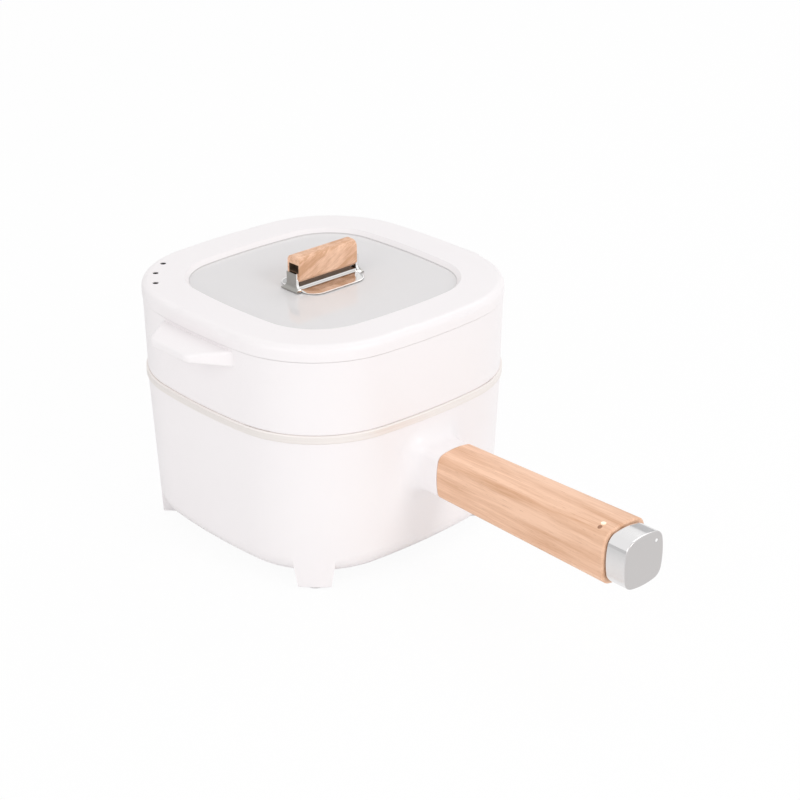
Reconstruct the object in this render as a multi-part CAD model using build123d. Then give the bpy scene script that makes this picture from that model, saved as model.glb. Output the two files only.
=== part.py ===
from build123d import *
import math
import os

# Table-top multicooker: a square pot with bowed sides, a steamer tier, a glass lid and one long handle.
# Millimetres. Origin on the table under the pot's middle, +X along the handle, +Z up.

# Plan outline that every tier follows
plan_half = 100.0
plan_corner_r = 66.0
plan_side_r = 410.0

# Clearances and the overrun of cuts
slip_gap = 0.3
snug_gap = 0.1
run_gap = 0.05
overrun = 1.0

# Outer shell with its legs
foot_height = 9.0
shell_height = 91.9
shell_set_back = 1.0
shell_wall = 2.5
shell_floor = 5.0
shell_lip = 2.5
shell_draft_deg = 2.9
shell_bottom_r = 14.0
leg_width = 27.0
leg_draft_deg = 9.0
leg_corner_r = 5.0
leg_edge_r = 1.2
neck_bore_half = 8.0
neck_bore_corner_r = 4.0

# Rubber pads plugged into the legs
pad_thick = 1.5
pad_r = 6.5
pad_stem_r = 3.6
pad_stem_length = 4.5
pad_inset = 9.0

# Base cover in the underside
cover_margin = 20.3
cover_thick = 2.5
cover_ledge = 7.0
vent_width = 3.4
vent_length = 34.0
vent_pitch = 9.0
vent_rows = 5
boss_r = 4.2
boss_height = 9.0
cover_screw_r = 1.5
cover_screw_head_r = 2.8
cover_screw_head = 1.3
cover_screw_length = 9.0

# Cooking pot, its seal and the trim band that clamps it
rim_width = 12.0
pot_wall = 1.5
pot_floor = 2.0
heater_room = 35.9
pot_bottom_r = 12.0
flange_gap = 0.6
seal_thick = 1.0
seal_inset = 0.9
rim_opening_gap = 2.0
trim_height = 5.2
trim_wall = 3.4
trim_reveal = 2.6
trim_edge = 0.7

# Heater under the pot
plate_inset = 16.0
plate_thick = 5.0
plate_post_r = 4.0
plate_post_inset = 14.0
plate_post_height = 11.4
plate_post_count = 3
element_inset = 6.0
element_r = 3.2
element_gap_deg = 18.0
shield_proud = 1.0
shield_thick = 1.0
shield_rim = 6.0
shield_port_r = 16.0
shield_pin_port_r = 4.5
shield_screw_r = 1.5
shield_screw_head_r = 2.8
shield_screw_head = 1.8
shield_screw_length = 7.0
thermostat_r = 9.0
thermostat_height = 7.0
thermostat_tab_width = 4.8
thermostat_tab_thick = 0.8
thermostat_tab_length = 4.0
thermostat_tab_spacing = 16.0
fuse_r = 2.0
fuse_length = 14.0
fuse_clip_thick = 0.7
fuse_clip_width = 6.0
fuse_clip_tab = 5.0

# Mains inlet at the back, opposite the handle
inlet_rise = 25.0
inlet_width = 27.0
inlet_height = 20.0
inlet_flange = 2.0
inlet_flange_thick = 2.0
inlet_depth = 18.0
inlet_recess_width = 24.0
inlet_recess_height = 16.5
inlet_recess_depth = 15.0
inlet_recess_bevel = 3.5
inlet_pocket_depth = 2.3
inlet_pad_wall = 3.0
inlet_pad_margin = 3.0
pin_wide = 4.0
pin_thick = 2.0
pin_length = 11.0
pin_tab = 7.0
pin_pitch = 14.0
pin_offset = 2.0

# Terminal block and wires
block_lead = 2.0
block_length = 24.0
block_width = 30.0
block_height = 12.0
block_screw_r = 2.4
block_screw_depth = 3.0
block_screw_shares = (0.1, 0.27)
wire_r = 1.1
supply_wire_r = 1.4
wire_bend_r = 6.0
supply_bend_r = 3.0
switch_wire_y = 3.0
switch_wire_rise = 6.5
switch_wire_sweep = 16.0
switch_wire_pot_gap = 1.4
thermostat_wire_rise = 9.0
supply_wire_rise = 5.5

# Long handle
handle_below_rim = 29.3
neck_length = 18.5
sleeve_length = 134.6
sleeve_root_half = 15.5
grip_half = 18.0
grip_corner_r = 8.0
grip_side_r = 54.0
sleeve_root_edge = 0.5
sleeve_end_edge = 0.9
core_half = 10.5
core_corner_r = 4.5
core_wall = 2.0
core_end_wall = 10.0
core_flange_half = 13.3
core_flange_thick = 4.0
root_screw_offset = 10.3
root_screw_r = 0.9
root_screw_head_r = 1.4
root_screw_head = 1.4
root_screw_length = 16.0
end_recess = 3.0
end_plate_half = 14.6
end_plate_thick = 2.7
end_plate_port_r = 7.5
end_screw_offset = 7.2
end_screw_r = 1.0
end_screw_head_r = 2.0
end_screw_head = 1.2
end_screw_length = 8.0

# Selector switch, its shaft and the knob on the handle's end
switch_half = 8.0
switch_corner_r = 1.5
switch_length = 18.0
switch_bush_r = 4.5
switch_nut_across = 11.0
switch_nut_thick = 2.0
switch_tab_length = 6.0
switch_tab_width = 4.8
switch_tab_thick = 0.8
shaft_r = 3.0
shaft_in_switch = 12.0
shaft_in_knob = 9.0
shaft_flat = 0.8
knob_gap = 0.8
knob_length = 14.2
knob_half = 16.0
knob_corner_r = 7.5
knob_side_r = 48.0
knob_edge = 1.0
knob_wall = 3.0
knob_face_thick = 3.5
knob_boss_r = 6.0
index_r = 1.1
index_depth = 0.6
index_offset = 9.4

# Indicator near the handle's end
indicator_from_end = 8.6
indicator_y = -8.3
indicator_r = 1.6
indicator_proud = 0.2
led_r = 1.4
led_height = 4.0

# Steamer tier
steamer_height = 46.8
steamer_top_set_back = 0.2
steamer_draft_deg = 1.2
steamer_wall = 2.2
steamer_floor = 2.5
steamer_edge_r = 0.7
skirt_gap = 0.8
skirt_wall = 2.0
skirt_depth = 8.0
slot_width = 3.5
slot_length = 26.0
slot_pitch_x = 32.0
slot_pitch_y = 19.0
slot_columns = 4
slot_rows = 7
ear_reach = 21.0
ear_outer_half = 18.0
ear_root_half = 34.0
ear_root_thick = 10.4
ear_tip_thick = 5.0
ear_tip_drop = 0.8
ear_below_top = 1.5
ear_corner_r = 8.0
ear_edge_r = 2.0

# Lid frame, glass and gasket
lid_proud = 0.3
lid_height = 10.1
lid_edge_r = 4.6
lid_foot_r = 1.0
lid_frame_width = 29.0
lid_lip = 3.2
lid_bevel = 2.7
lid_rib = 2.5
lid_locator_gap = 0.7
lid_locator_wall = 2.4
lid_locator_depth = 5.0
steam_hole_r = 1.9
steam_hole_inset = 8.0
steam_hole_step_deg = 16.5
steam_hole_count = 3
glass_cover = 4.5
glass_thick = 4.0
gasket_wall = 1.3
gasket_lip = 3.6
gasket_under = 1.4

# Lid bar: metal base, wooden grip and their fixings
bar_dome_half = 18.0
bar_dome_length = 47.0
bar_dome_corner_r = 10.0
bar_rim_thick = 0.5
bar_dome_rise = 1.9
bar_rib_half = 5.2
bar_rib_corner_r = 0.6
bar_height = 3.1
bar_post_half = 4.4
bar_post_thick = 2.1
bar_post_height = 11.4
bar_foot_half = 7.8
bar_foot_lead = 1.8
bar_foot_thick = 0.8
bar_flare_height = 5.0
bar_flare_share = 0.3
bar_groove_half = 2.6
bar_groove_depth = 1.2
bar_pad_thick = 0.3
bar_pad_inset = 0.8
lid_grip_length = 46.4
lid_grip_half = 5.8
lid_grip_height = 16.3
lid_grip_top_r = 4.0
lid_grip_bevel = 2.0
lid_grip_shadow_gap = 2.3
lid_grip_notch_half = 4.4
lid_grip_notch_depth = 5.0
lid_grip_notch_rise = 5.0
tongue_length = 42.0
lid_screw_r = 2.0
lid_screw_y = 16.0
lid_screw_in_wood = 7.0
lid_screw_head_r = 3.8
lid_screw_head = 2.4
washer_r = 5.0
washer_thick = 0.8

# Levels and places that follow from the sizes above
shell_bottom = foot_height
shell_top = shell_bottom + shell_height
shell_top_half = plan_half - shell_set_back
shell_slope = math.tan(math.radians(shell_draft_deg))
shell_bottom_half = shell_top_half - shell_slope * shell_height
cavity_bottom = shell_bottom + shell_floor
cover_half = shell_bottom_half - cover_margin
cover_top = shell_bottom + cover_thick
pot_half = plan_half - rim_width
pot_outer_half = pot_half + pot_wall
rim_opening_half = pot_outer_half + rim_opening_gap
seal_top = shell_top + seal_thick
pot_rim = seal_top + pot_wall
pot_underside = cover_top + heater_room
pot_inside = pot_underside + pot_floor
trim_top = shell_top + trim_height
trim_inner_half = plan_half - trim_wall
pot_flange_half = trim_inner_half - flange_gap
plate_r = pot_half - pot_bottom_r - plate_inset
plate_bottom = pot_underside - plate_thick
element_circle_r = plate_r - element_inset
plate_post_circle_r = element_circle_r - plate_post_inset
shield_r = plate_r + shield_proud
post_bottom = plate_bottom - plate_post_height
shield_bottom = post_bottom - shield_thick
block_top = cover_top + block_height
steamer_top = trim_top + steamer_height
steamer_top_half = plan_half - steamer_top_set_back
steamer_slope = math.tan(math.radians(steamer_draft_deg))
skirt_half = pot_half - skirt_gap
lid_half = plan_half + lid_proud
lid_window_half = plan_half - lid_frame_width
lid_bottom = steamer_top
lid_top = lid_bottom + lid_height
glass_top = lid_top - lid_lip
glass_bottom = glass_top - glass_thick
glass_half = lid_window_half + glass_cover
rebate_half = glass_half + snug_gap + gasket_wall + snug_gap
bar_bottom = glass_top + bar_pad_thick
bar_top = bar_bottom + bar_height
post_top = bar_bottom + bar_post_height
handle_z = shell_top - handle_below_rim
handle_root_x = plan_half + neck_length
neck_blend_r = handle_below_rim - grip_half
sleeve_end_x = handle_root_x + sleeve_length
sleeve_slope = (grip_half - sleeve_root_half) / sleeve_length
sleeve_taper_deg = math.degrees(math.atan(sleeve_slope))
core_end_x = sleeve_end_x - end_recess
switch_front_x = core_end_x - core_end_wall
switch_back_x = switch_front_x - switch_length
knob_back_x = sleeve_end_x + knob_gap
knob_face_x = knob_back_x + knob_length
indicator_x = sleeve_end_x - indicator_from_end
inlet_z = shell_bottom + inlet_rise
inlet_seat_x = -(shell_top_half - shell_slope * (shell_top - inlet_z) - inlet_pocket_depth)
inlet_face_x = inlet_seat_x - inlet_flange_thick
inlet_back_x = inlet_face_x + inlet_depth
pin_end_x = inlet_back_x + pin_tab
thermostat_bottom = plate_bottom - thermostat_height
thermostat_tab_bottom = thermostat_bottom - thermostat_tab_length
fuse_x = (thermostat_r + element_circle_r - element_r) / 2
fuse_z = plate_bottom - fuse_r - snug_gap
block_start_x = -element_circle_r - block_lead
block_end_x = block_start_x + block_length
supply_wire_z = cover_top + supply_wire_rise
switch_wire_z = cover_top + switch_wire_rise
thermostat_wire_z = cover_top + thermostat_wire_rise
switch_wire_rise_x = pot_outer_half + switch_wire_pot_gap + wire_r
switch_wire_turn_x = switch_wire_rise_x - switch_wire_sweep
bush_end_x = core_end_x + switch_nut_thick + run_gap
shaft_end_x = knob_back_x + shaft_in_knob
led_top = handle_z + core_half
led_bottom = led_top - led_height
indicator_drop = grip_side_r - math.sqrt(grip_side_r ** 2 - indicator_y ** 2)
indicator_fall = indicator_drop + sleeve_slope * indicator_from_end
indicator_top = handle_z + grip_half - indicator_fall + indicator_proud


def corner_centre(half, corner_r, side_r):
    """Distance along X and Y from the middle to a corner arc's centre."""
    side_centre = half - side_r
    reach = side_r - corner_r
    return (side_centre + math.sqrt(2 * reach ** 2 - side_centre ** 2)) / 2


def bowed_square(half, corner_r, side_r):
    """Square with bowed sides and round corners, each arc tangent to the next."""
    side_centre = half - side_r
    corner = corner_centre(half, corner_r, side_r)
    swing = math.degrees(math.atan2(corner, corner - side_centre))
    arcs = []
    for turn in range(4):
        spin = Rot(0, 0, 90 * turn)
        arcs.append(spin * CenterArc((side_centre, 0), side_r, -swing, 2 * swing))
        arcs.append(spin * CenterArc((corner, corner), corner_r, swing, 90 - 2 * swing))
    return make_face(arcs)


def plan(half):
    """The plan outline moved in or out in parallel to the given half width."""
    inset = plan_half - half
    return bowed_square(half, plan_corner_r - inset, plan_side_r - inset)


def block(half, low, high):
    """Upright solid of the plan outline."""
    return extrude(Pos(0, 0, low) * plan(half), amount=high - low)


def drafted_block(half, low, high, draft_deg):
    """Solid of the plan outline, half wide at its top and narrower below."""
    return extrude(Pos(0, 0, high) * plan(half), amount=low - high, taper=draft_deg)


def ring(outer_half, inner_half, low, high):
    """Upright wall between two plan outlines."""
    return extrude(Pos(0, 0, low) * (plan(outer_half) - plan(inner_half)), amount=high - low)


def upright(radius, low, high, x=0, y=0):
    """Round rod along Z."""
    base = (Align.CENTER, Align.CENTER, Align.MIN)
    return Pos(x, y, low) * Cylinder(radius, high - low, align=base)


def level(radius, low, high, y=0, z=0):
    """Round rod along X."""
    base = (Align.CENTER, Align.CENTER, Align.MIN)
    return Pos(low, y, z) * Rot(0, 90, 0) * Cylinder(radius, high - low, align=base)


def brick(x_span, y_span, z_span):
    """Box between two corners given as spans along X, Y and Z."""
    size = [high - low for low, high in (x_span, y_span, z_span)]
    middle = [(high + low) / 2 for low, high in (x_span, y_span, z_span)]
    return Pos(*middle) * Box(*size)


def across(section, low, high, y=0, z=handle_z, taper_deg=0):
    """A section drawn in Y and Z, carried along X, narrower at its far end if it tapers."""
    start = Plane(origin=(low, y, z), x_dir=(0, 1, 0), z_dir=(1, 0, 0))
    return extrude(start * section, amount=high - low, taper=taper_deg)


def grip_section(half):
    """Handle outline moved in parallel to the given half width."""
    inset = grip_half - half
    return bowed_square(half, grip_corner_r - inset, grip_side_r - inset)


def core_section(half):
    """Outline of the handle's inner tube at the given half width."""
    return RectangleRounded(2 * half, 2 * half, core_corner_r - (core_half - half))


def lowest(shape):
    return shape.edges().group_by(Axis.Z)[0]


def highest(shape):
    return shape.edges().group_by(Axis.Z)[-1]


def four_corners(distance):
    """Points on the plan's diagonals at a distance from the middle."""
    side = distance / math.sqrt(2)
    return [(side * sx, side * sy) for sx in (1, -1) for sy in (1, -1)]


def diagonal_reach(half):
    """Distance from the middle to the plan outline along its diagonal."""
    inset = plan_half - half
    corner = corner_centre(half, plan_corner_r - inset, plan_side_r - inset)
    return math.sqrt(2) * corner + plan_corner_r - inset


def wire(points, radius, bend_r):
    """Insulated wire along straight runs joined by tangent arcs."""
    path = FilletPolyline(*points, radius=bend_r)
    start = Plane(origin=path @ 0, z_dir=path % 0)
    return sweep(start * Circle(radius), path=path)


leg_reach = diagonal_reach(shell_bottom_half)
pad_distance = leg_reach - pad_inset
cover_screw_distance = diagonal_reach(cover_half - cover_ledge / 2)


def shell_legs():
    """Corner legs whose outer faces carry the shell's corners on down to the floor."""
    top = shell_bottom + shell_bottom_r
    skin = drafted_block(shell_top_half, pad_thick, shell_top, shell_draft_deg)
    inner = diagonal_reach(cover_half) + slip_gap
    depth = 2 * (leg_reach - inner)
    column = Pos(leg_reach, 0, top) * RectangleRounded(depth, leg_width, leg_corner_r)
    legs = []
    for turn in range(4):
        post = extrude(column, amount=pad_thick - top, taper=leg_draft_deg)
        leg = skin & (Rot(0, 0, 45 + 90 * turn) * post)
        legs.append(fillet(lowest(leg), leg_edge_r))
    return legs


def outer_shell():
    """White moulded shell: drafted wall, four legs, handle neck, inlet pocket and cover ledge."""
    body = drafted_block(shell_top_half, shell_bottom, shell_top, shell_draft_deg)
    body = fillet(lowest(body), shell_bottom_r)
    neck = across(grip_section(sleeve_root_half), pot_half, handle_root_x)
    joined = body + neck
    root = handle_root_x - grip_half
    seam = [edge for edge in joined.edges() if pot_half < edge.center().X < root]
    seam = [edge for edge in seam if abs(edge.center().Y) <= grip_half]
    seam = [edge for edge in seam if abs(edge.center().Z - handle_z) <= grip_half]
    joined = fillet(seam, neck_blend_r)
    for leg in shell_legs():
        joined = joined + leg
    hollow_half = shell_top_half - shell_wall - shell_slope * shell_lip
    hollow = drafted_block(hollow_half, cavity_bottom, shell_top - shell_lip, shell_draft_deg)
    hollow = fillet(lowest(hollow), shell_bottom_r - shell_floor)
    pad_half_y = inlet_width / 2 + inlet_flange + inlet_pad_margin
    pad_half_z = inlet_height / 2 + inlet_flange + inlet_pad_margin
    inlet_pad = brick(
        (inlet_seat_x - inlet_pocket_depth, inlet_seat_x + inlet_pad_wall),
        (-pad_half_y, pad_half_y),
        (inlet_z - pad_half_z, inlet_z + pad_half_z),
    )
    joined = joined - (hollow - inlet_pad)
    joined = joined - block(rim_opening_half, shell_top - shell_lip - overrun, shell_top + overrun)
    joined = joined - block(cover_half + slip_gap, shell_bottom - overrun, cover_top)
    joined = joined - block(cover_half - cover_ledge, shell_bottom - overrun, cavity_bottom + overrun)
    for x, y in four_corners(cover_screw_distance):
        joined = joined + upright(boss_r, cover_top, cover_top + boss_height, x, y)
        joined = joined - upright(cover_screw_r, cover_top - overrun, cover_top + cover_screw_length, x, y)
    for x, y in four_corners(pad_distance):
        joined = joined - upright(pad_stem_r + snug_gap, 0, pad_thick + pad_stem_length + snug_gap, x, y)
    joined = joined - across(
        RectangleRounded(2 * neck_bore_half, 2 * neck_bore_half, neck_bore_corner_r),
        pot_half,
        handle_root_x + overrun,
    )
    for y in (-root_screw_offset, root_screw_offset):
        for z in (-root_screw_offset, root_screw_offset):
            tip = handle_root_x - (root_screw_length - core_flange_thick)
            joined = joined - level(root_screw_r, tip, handle_root_x + overrun, y, handle_z + z)
    flange_half_y = inlet_width / 2 + inlet_flange + slip_gap
    flange_half_z = inlet_height / 2 + inlet_flange + slip_gap
    joined = joined - brick(
        (-plan_half, inlet_seat_x),
        (-flange_half_y, flange_half_y),
        (inlet_z - flange_half_z, inlet_z + flange_half_z),
    )
    joined = joined - brick(
        (-plan_half, inlet_back_x),
        (-inlet_width / 2 - slip_gap, inlet_width / 2 + slip_gap),
        (inlet_z - inlet_height / 2 - slip_gap, inlet_z + inlet_height / 2 + slip_gap),
    )
    return joined


def foot_pad(x, y):
    """Rubber pad with a stem pushed into a leg."""
    pad = chamfer(lowest(upright(pad_r, 0, pad_thick, x, y)), pad_thick / 4)
    return pad + upright(pad_stem_r, pad_thick, pad_thick + pad_stem_length, x, y)


def base_cover():
    """Moulded plate that closes the underside, with cooling slots and countersunk screw holes."""
    cover = block(cover_half, shell_bottom, cover_top)
    slot = SlotOverall(vent_length, vent_width, rotation=90)
    for column in range(-vent_rows, vent_rows + 1):
        place = Pos(column * vent_pitch, 0, shell_bottom - overrun)
        cover = cover - extrude(place * slot, amount=cover_thick + 2 * overrun)
    for x, y in four_corners(cover_screw_distance):
        cover = cover - upright(cover_screw_r + snug_gap, shell_bottom - overrun, cover_top + overrun, x, y)
        sunk = shell_bottom + cover_screw_head
        cover = cover - upright(cover_screw_head_r + slip_gap, shell_bottom - overrun, sunk, x, y)
    return cover


def cover_screws():
    """Four screws that hold the base cover to the shell's bosses."""
    screws = []
    for x, y in four_corners(cover_screw_distance):
        head = upright(cover_screw_head_r, shell_bottom, shell_bottom + cover_screw_head, x, y)
        tip = cover_top + cover_screw_length - snug_gap
        screws.append(head + upright(cover_screw_r - run_gap, shell_bottom, tip, x, y))
    return Compound(screws)


def inner_pot():
    """Drawn pot with a flat rolled flange that hangs it in the shell."""
    body = block(pot_outer_half, pot_underside, pot_rim)
    body = fillet(lowest(body), pot_bottom_r + pot_wall)
    hollow = block(pot_half, pot_inside, pot_rim + overrun)
    hollow = fillet(lowest(hollow), pot_bottom_r)
    flange = ring(pot_flange_half, pot_half, seal_top, pot_rim)
    return body - hollow + flange


def pot_seal():
    """Flat silicone ring between the pot's flange and the shell's lip."""
    return ring(pot_flange_half - seal_inset, rim_opening_half, shell_top, seal_top)


def trim_ring():
    """Metallic band round the rim, with a lip that holds the pot's flange down."""
    band = ring(plan_half, trim_inner_half, shell_top, trim_top)
    outer = band.faces().sort_by(Axis.Z)[-1].outer_wire().edges()
    outer = outer + band.faces().sort_by(Axis.Z)[0].outer_wire().edges()
    band = chamfer(outer, trim_edge)
    return band + ring(trim_inner_half, pot_half + trim_reveal, pot_rim, trim_top)


def plate_posts():
    """Places of the posts that carry the heat shield."""
    step = 360 / plate_post_count
    turns = [math.radians(step * (n + 1 / 2)) for n in range(plate_post_count)]
    return [(plate_post_circle_r * math.cos(t), plate_post_circle_r * math.sin(t)) for t in turns]


def heater_plate():
    """Cast plate under the pot that spreads the element's heat, with posts for the shield."""
    plate = upright(plate_r, plate_bottom, pot_underside)
    for x, y in plate_posts():
        plate = plate + upright(plate_post_r, post_bottom, plate_bottom, x, y)
        hole_top = post_bottom + shield_screw_length
        plate = plate - upright(shield_screw_r, post_bottom - overrun, hole_top, x, y)
    return plate


def element_ends():
    """Places of the element's two cold pins, on the inlet's side."""
    turns = [math.radians(180 + side * element_gap_deg / 2) for side in (-1, 1)]
    return [(element_circle_r * math.cos(t), element_circle_r * math.sin(t)) for t in turns]


def heating_element():
    """Tubular loop brazed under the plate, with two pins down to the terminal block."""
    centre_z = plate_bottom - element_r - run_gap
    start = Plane(origin=(-element_circle_r, 0, centre_z), x_dir=(1, 0, 0), z_dir=(0, 1, 0))
    tube = revolve(start * Circle(element_r), axis=Axis.Z, revolution_arc=360 - element_gap_deg)
    loop = Rot(0, 0, -element_gap_deg / 2) * tube
    for x, y in element_ends():
        loop = loop + upright(element_r, centre_z - element_r, centre_z, x, y)
        loop = loop + upright(element_r / 2, block_top, centre_z, x, y)
    return loop


def heat_shield():
    """Pressed steel tray that keeps the heat off the base cover."""
    tray = upright(shield_r, shield_bottom, post_bottom + shield_rim)
    tray = tray - upright(shield_r - shield_thick, post_bottom, post_bottom + shield_rim + overrun)
    tray = tray - upright(shield_port_r, shield_bottom - overrun, post_bottom + overrun)
    for x, y in element_ends():
        tray = tray - upright(shield_pin_port_r, shield_bottom - overrun, post_bottom + overrun, x, y)
    for x, y in plate_posts():
        hole_r = shield_screw_r + snug_gap
        tray = tray - upright(hole_r, shield_bottom - overrun, post_bottom + overrun, x, y)
    return tray


def shield_screws():
    """Screws that hold the shield to the plate's posts."""
    screws = []
    for x, y in plate_posts():
        head = upright(shield_screw_head_r, shield_bottom - shield_screw_head, shield_bottom, x, y)
        top = post_bottom + shield_screw_length - snug_gap
        screws.append(head + upright(shield_screw_r - run_gap, shield_bottom, top, x, y))
    return Compound(screws)


def thermostat():
    """Disc thermostat against the plate's middle, with two blade terminals."""
    body = chamfer(lowest(upright(thermostat_r, thermostat_bottom, plate_bottom)), thermostat_r / 9)
    for side in (-1, 1):
        y = side * thermostat_tab_spacing / 2
        x_span = (-thermostat_tab_width / 2, thermostat_tab_width / 2)
        y_span = (y - thermostat_tab_thick / 2, y + thermostat_tab_thick / 2)
        body = body + brick(x_span, y_span, (thermostat_tab_bottom, thermostat_bottom + thermostat_r / 3))
    return body


def thermal_fuse():
    """Axial fuse that lies against the plate."""
    spin = Pos(fuse_x, 0, fuse_z) * Rot(90, 0, 0)
    return spin * Cylinder(fuse_r, fuse_length) + spin * Cylinder(fuse_r / 4, 2 * fuse_length)


def fuse_clip():
    """Spring strap that presses the fuse to the plate."""
    spin = Pos(fuse_x, 0, fuse_z) * Rot(90, 0, 0)
    inner_r = fuse_r + snug_gap
    outer_r = inner_r + fuse_clip_thick
    strap = spin * (Cylinder(outer_r, fuse_clip_width) - Cylinder(inner_r, fuse_clip_width))
    y_span = (-fuse_clip_width / 2, fuse_clip_width / 2)
    clip = strap - brick((fuse_x - outer_r, fuse_x + outer_r), y_span, (fuse_z, fuse_z + outer_r))
    for side in (-1, 1):
        wall = sorted((fuse_x + side * inner_r, fuse_x + side * outer_r))
        tab = sorted((fuse_x + side * inner_r, fuse_x + side * (outer_r + fuse_clip_tab)))
        clip = clip + brick(wall, y_span, (fuse_z, plate_bottom))
        clip = clip + brick(tab, y_span, (plate_bottom - fuse_clip_thick, plate_bottom))
    return clip


def terminal_block():
    """Moulded block on the base cover where the wires meet, with clamp screw wells."""
    y_span = (-block_width / 2, block_width / 2)
    body = brick((block_start_x, block_end_x), y_span, (cover_top, block_top))
    for side in (-1, 1):
        for share in block_screw_shares:
            well_y = side * share * block_width
            x = block_end_x - block_length / 4
            well_low = block_top - block_screw_depth
            body = body - upright(block_screw_r, well_low, block_top + overrun, x, well_y)
    return body


def inlet_housing():
    """Moulded mains inlet: a flange in the shell's pocket and a deep recess round three pins."""
    y_half = inlet_width / 2
    z_half = inlet_height / 2
    body = brick((inlet_seat_x, inlet_back_x), (-y_half, y_half), (inlet_z - z_half, inlet_z + z_half))
    flange = brick(
        (inlet_face_x, inlet_seat_x),
        (-y_half - inlet_flange, y_half + inlet_flange),
        (inlet_z - z_half - inlet_flange, inlet_z + z_half + inlet_flange),
    )
    flange = fillet(flange.edges().filter_by(Axis.X), inlet_flange)
    recess = brick(
        (inlet_face_x - overrun, inlet_face_x + inlet_recess_depth),
        (-inlet_recess_width / 2, inlet_recess_width / 2),
        (inlet_z - inlet_recess_height / 2, inlet_z + inlet_recess_height / 2),
    )
    upper = recess.edges().filter_by(Axis.X).group_by(Axis.Z)[-1]
    body = body + flange - chamfer(upper, inlet_recess_bevel)
    for x_span, y_span, z_span in pin_spans(snug_gap):
        body = body - brick(x_span, y_span, z_span)
    return body


def pin_spans(gap):
    """Spans of the line, neutral and earth pins, grown by a gap."""
    start = inlet_face_x + inlet_recess_depth - pin_length
    places = [(-pin_pitch / 2, -pin_offset), (pin_pitch / 2, -pin_offset), (0, pin_offset)]
    spans = []
    for y, z in places:
        y_span = (y - pin_thick / 2 - gap, y + pin_thick / 2 + gap)
        z_span = (inlet_z + z - pin_wide / 2 - gap, inlet_z + z + pin_wide / 2 + gap)
        spans.append(((start, pin_end_x), y_span, z_span))
    return spans


def inlet_pins():
    """Three plated blades with solder tabs behind the housing."""
    return Compound([brick(*spans) for spans in pin_spans(0)])


def supply_wires():
    """Two wires from the inlet's line and neutral tabs to the terminal block."""
    lead = (block_start_x - pin_end_x) / 3
    z = inlet_z - pin_offset
    wires = []
    for y in (-pin_pitch / 2, pin_pitch / 2):
        points = [
            (pin_end_x, y, z),
            (pin_end_x + lead, y, z),
            (block_start_x - lead, y, supply_wire_z),
            (block_start_x, y, supply_wire_z),
        ]
        wires.append(wire(points, supply_wire_r, supply_bend_r))
    return Compound(wires)


def switch_wires():
    """Two wires from the terminal block, up beside the pot and through the neck to the switch."""
    end_x = switch_back_x - switch_tab_length
    wires = []
    for y in (-switch_wire_y, switch_wire_y):
        points = [
            (block_end_x, y, switch_wire_z),
            (switch_wire_turn_x, y, switch_wire_z),
            (switch_wire_rise_x, y, pot_underside),
            (switch_wire_rise_x, y, handle_z),
            (end_x, y, handle_z),
        ]
        wires.append(wire(points, wire_r, wire_bend_r))
    return Compound(wires)


def thermostat_wires():
    """Two wires from the thermostat's blades to the terminal block."""
    bend_r = min(wire_bend_r, thermostat_tab_bottom - thermostat_wire_z - wire_r)
    wires = []
    for side in (-1, 1):
        y = side * thermostat_tab_spacing / 2
        points = [
            (0, y, thermostat_tab_bottom),
            (0, y, thermostat_wire_z),
            (block_end_x, y, thermostat_wire_z),
        ]
        wires.append(wire(points, wire_r, bend_r))
    return Compound(wires)


def handle_core():
    """Moulded tube screwed to the neck; it carries the sleeve, the wires and the switch."""
    flange_x = handle_root_x + core_flange_thick
    core = across(grip_section(core_flange_half), handle_root_x, flange_x)
    core = core + across(core_section(core_half), handle_root_x, core_end_x)
    bore = core_section(core_half - core_wall)
    core = core - across(bore, handle_root_x - overrun, switch_front_x)
    bush_hole_r = switch_bush_r + snug_gap
    core = core - level(bush_hole_r, switch_front_x - overrun, core_end_x + overrun, 0, handle_z)
    for y in (-root_screw_offset, root_screw_offset):
        for z in (-root_screw_offset, root_screw_offset):
            hole_r = root_screw_r + snug_gap
            core = core - level(hole_r, handle_root_x - overrun, flange_x + overrun, y, handle_z + z)
    for side in (-1, 1):
        offset = side * end_screw_offset
        tip = core_end_x - (end_screw_length - end_plate_thick + end_screw_head)
        core = core - level(end_screw_r, tip, core_end_x + overrun, offset, handle_z + offset)
    return core - upright(
        led_r + snug_gap,
        led_bottom - snug_gap,
        handle_z + core_half + overrun,
        indicator_x,
        indicator_y,
    )


def handle_root_screws():
    """Four screws through the core's flange into the neck."""
    flange_x = handle_root_x + core_flange_thick
    tip = flange_x - root_screw_length + snug_gap
    screws = []
    for y in (-root_screw_offset, root_screw_offset):
        for z in (-root_screw_offset, root_screw_offset):
            head = level(root_screw_head_r, flange_x, flange_x + root_screw_head, y, handle_z + z)
            screws.append(head + level(root_screw_r - run_gap, tip, flange_x, y, handle_z + z))
    return Compound(screws)


def handle_sleeve():
    """Wooden grip, thinner towards the pot, bored for the core and slipped over it from the end."""
    sleeve = across(grip_section(grip_half), sleeve_end_x, handle_root_x, taper_deg=sleeve_taper_deg)
    ends = sleeve.edges().group_by(Axis.X)
    sleeve = chamfer(ends[0], sleeve_root_edge)
    sleeve = chamfer(sleeve.edges().group_by(Axis.X)[-1], sleeve_end_edge)
    bore = core_section(core_half + slip_gap)
    sleeve = sleeve - across(bore, handle_root_x - overrun, sleeve_end_x + overrun)
    root_depth = core_flange_thick + root_screw_head + slip_gap
    root = grip_section(core_flange_half + slip_gap)
    sleeve = sleeve - across(root, handle_root_x - overrun, handle_root_x + root_depth)
    seat = grip_section(end_plate_half + slip_gap)
    sleeve = sleeve - across(seat, core_end_x, sleeve_end_x + overrun)
    return sleeve - upright(
        indicator_r + snug_gap,
        handle_z,
        handle_z + grip_half + overrun,
        indicator_x,
        indicator_y,
    )


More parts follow.
